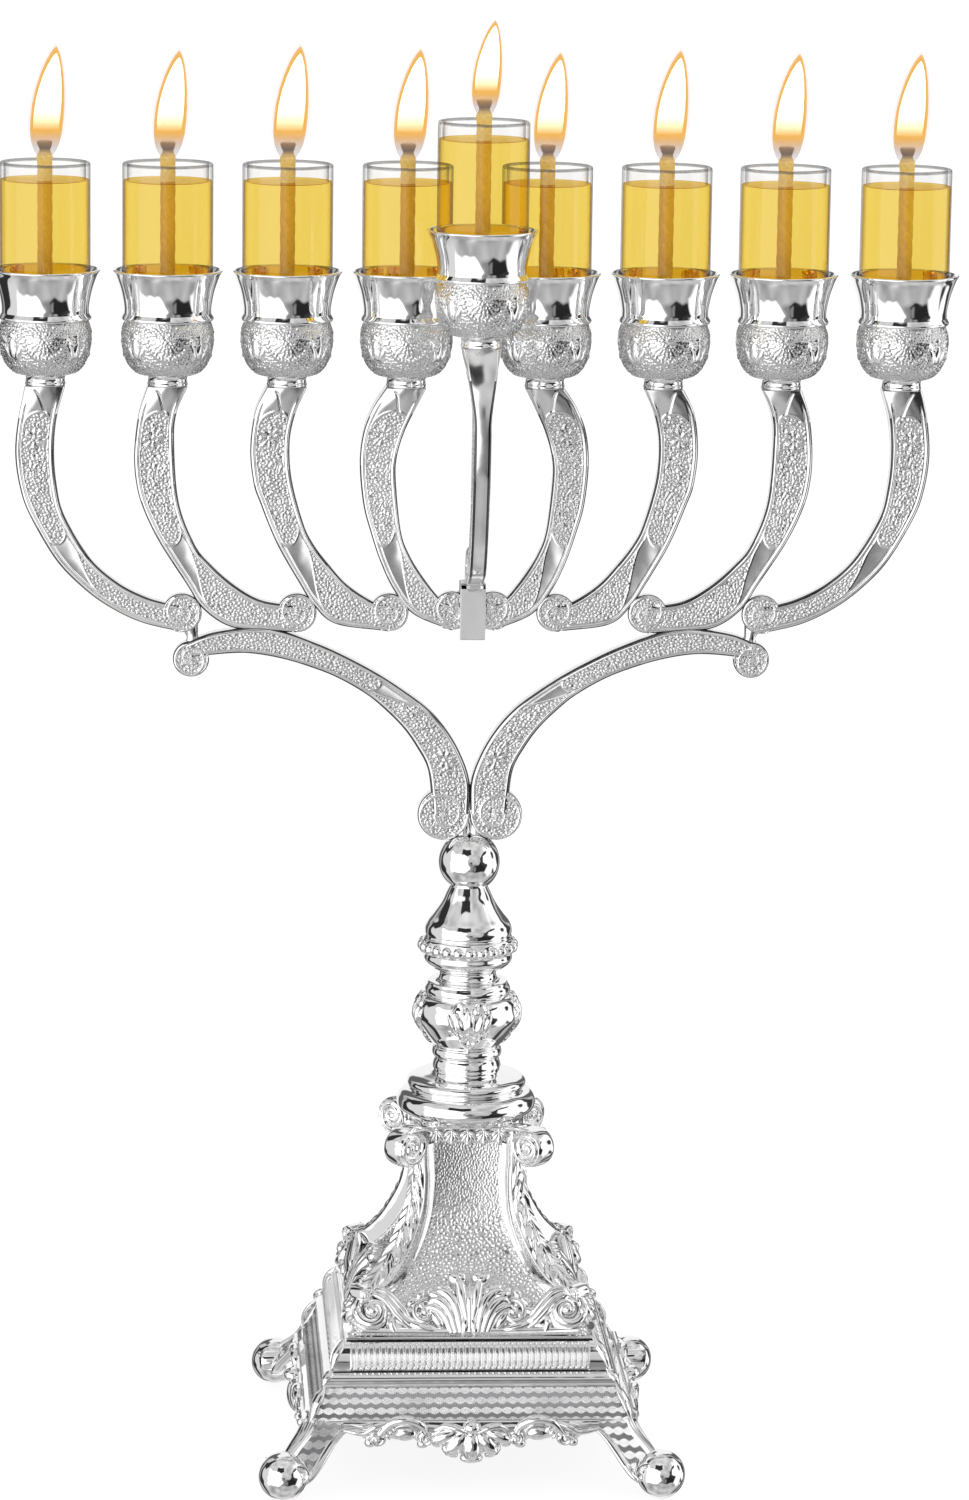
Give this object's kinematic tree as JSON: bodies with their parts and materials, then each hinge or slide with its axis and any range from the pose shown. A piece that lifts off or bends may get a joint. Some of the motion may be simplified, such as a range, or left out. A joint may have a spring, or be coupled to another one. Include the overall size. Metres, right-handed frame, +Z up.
{
  "type": "menorah",
  "caption": "Silver-plated oil menorah: a row of glass oil lights on scrolled arms, a raised lift-off shamash arm, a baluster stem and a square footed base.",
  "frame": {"origin": "under the middle of the square base, at the level of the feet", "axes": "+X along the row of lights, -Y to the front where the shamash arm stands, +Z up"},
  "size_m": [0.255, 0.1132, 0.3671],
  "materials": {
    "polished_silver": "mirror-polished silver plate",
    "embossed_silver": "silver plate with polished rims and a fine pebbled, embossed ground",
    "hammered_silver": "silver plate with a fine hammered grain",
    "engine_turned_silver": "silver plate with ribbed and engine-turned bands",
    "clear_glass": "clear polished glass",
    "lamp_oil": "clear golden lamp oil",
    "wick_cotton": "twisted cotton wick, charred black at the tip",
    "plain_steel": "plain zinc-plated steel"
  },
  "bodies": {
    "frame": {"candle_cup_1": "polished_silver", "candle_cup_2": "polished_silver", "candle_cup_3": "polished_silver", "candle_cup_4": "polished_silver", "candle_cup_5": "polished_silver", "candle_cup_6": "polished_silver", "candle_cup_7": "polished_silver", "candle_cup_8": "polished_silver", "arm_1": "embossed_silver", "arm_2": "embossed_silver", "arm_3": "embossed_silver", "arm_4": "embossed_silver", "arm_5": "embossed_silver", "arm_6": "embossed_silver", "arm_7": "embossed_silver", "arm_8": "embossed_silver", "main_branch_left": "embossed_silver", "main_branch_right": "embossed_silver", "stem_ball": "polished_silver", "beaded_collar": "polished_silver", "vase_knop": "polished_silver", "capital": "polished_silver", "pedestal": "hammered_silver", "corner_scrolls": "polished_silver", "base_ornaments": "polished_silver", "plinth": "engine_turned_silver", "corner_legs": "polished_silver", "ball_feet": "polished_silver", "bottom_plate": "plain_steel", "tie_rod": "plain_steel", "rod_nut": "plain_steel"},
    "shamash": {"shamash_arm": "embossed_silver", "candle_cup_shamash": "polished_silver"},
    "light_1": {"glass_1": "clear_glass", "oil_1": "lamp_oil", "wick_1": "wick_cotton"},
    "light_2": {"glass_2": "clear_glass", "oil_2": "lamp_oil", "wick_2": "wick_cotton"},
    "light_3": {"glass_3": "clear_glass", "oil_3": "lamp_oil", "wick_3": "wick_cotton"},
    "light_4": {"glass_4": "clear_glass", "oil_4": "lamp_oil", "wick_4": "wick_cotton"},
    "light_5": {"glass_5": "clear_glass", "oil_5": "lamp_oil", "wick_5": "wick_cotton"},
    "light_6": {"glass_6": "clear_glass", "oil_6": "lamp_oil", "wick_6": "wick_cotton"},
    "light_7": {"glass_7": "clear_glass", "oil_7": "lamp_oil", "wick_7": "wick_cotton"},
    "light_8": {"glass_8": "clear_glass", "oil_8": "lamp_oil", "wick_8": "wick_cotton"},
    "light_shamash": {"glass_shamash": "clear_glass", "oil_shamash": "lamp_oil", "wick_shamash": "wick_cotton"}
  },
  "joints": [
    {"name": "shamash_lift", "type": "slide", "parent": "frame", "child": "shamash", "axis": [0, 0, 1], "range_m": [0, 0.03]},
    {"name": "light_1_lift", "type": "slide", "parent": "frame", "child": "light_1", "axis": [0, 0, 1], "range_m": [0, 0.03]},
    {"name": "light_2_lift", "type": "slide", "parent": "frame", "child": "light_2", "axis": [0, 0, 1], "range_m": [0, 0.03]},
    {"name": "light_3_lift", "type": "slide", "parent": "frame", "child": "light_3", "axis": [0, 0, 1], "range_m": [0, 0.03]},
    {"name": "light_4_lift", "type": "slide", "parent": "frame", "child": "light_4", "axis": [0, 0, 1], "range_m": [0, 0.03]},
    {"name": "light_5_lift", "type": "slide", "parent": "frame", "child": "light_5", "axis": [0, 0, 1], "range_m": [0, 0.03]},
    {"name": "light_6_lift", "type": "slide", "parent": "frame", "child": "light_6", "axis": [0, 0, 1], "range_m": [0, 0.03]},
    {"name": "light_7_lift", "type": "slide", "parent": "frame", "child": "light_7", "axis": [0, 0, 1], "range_m": [0, 0.03]},
    {"name": "light_8_lift", "type": "slide", "parent": "frame", "child": "light_8", "axis": [0, 0, 1], "range_m": [0, 0.03]},
    {"name": "light_shamash_lift", "type": "slide", "parent": "shamash", "child": "light_shamash", "axis": [0, 0, 1], "range_m": [0, 0.03]}
  ]
}
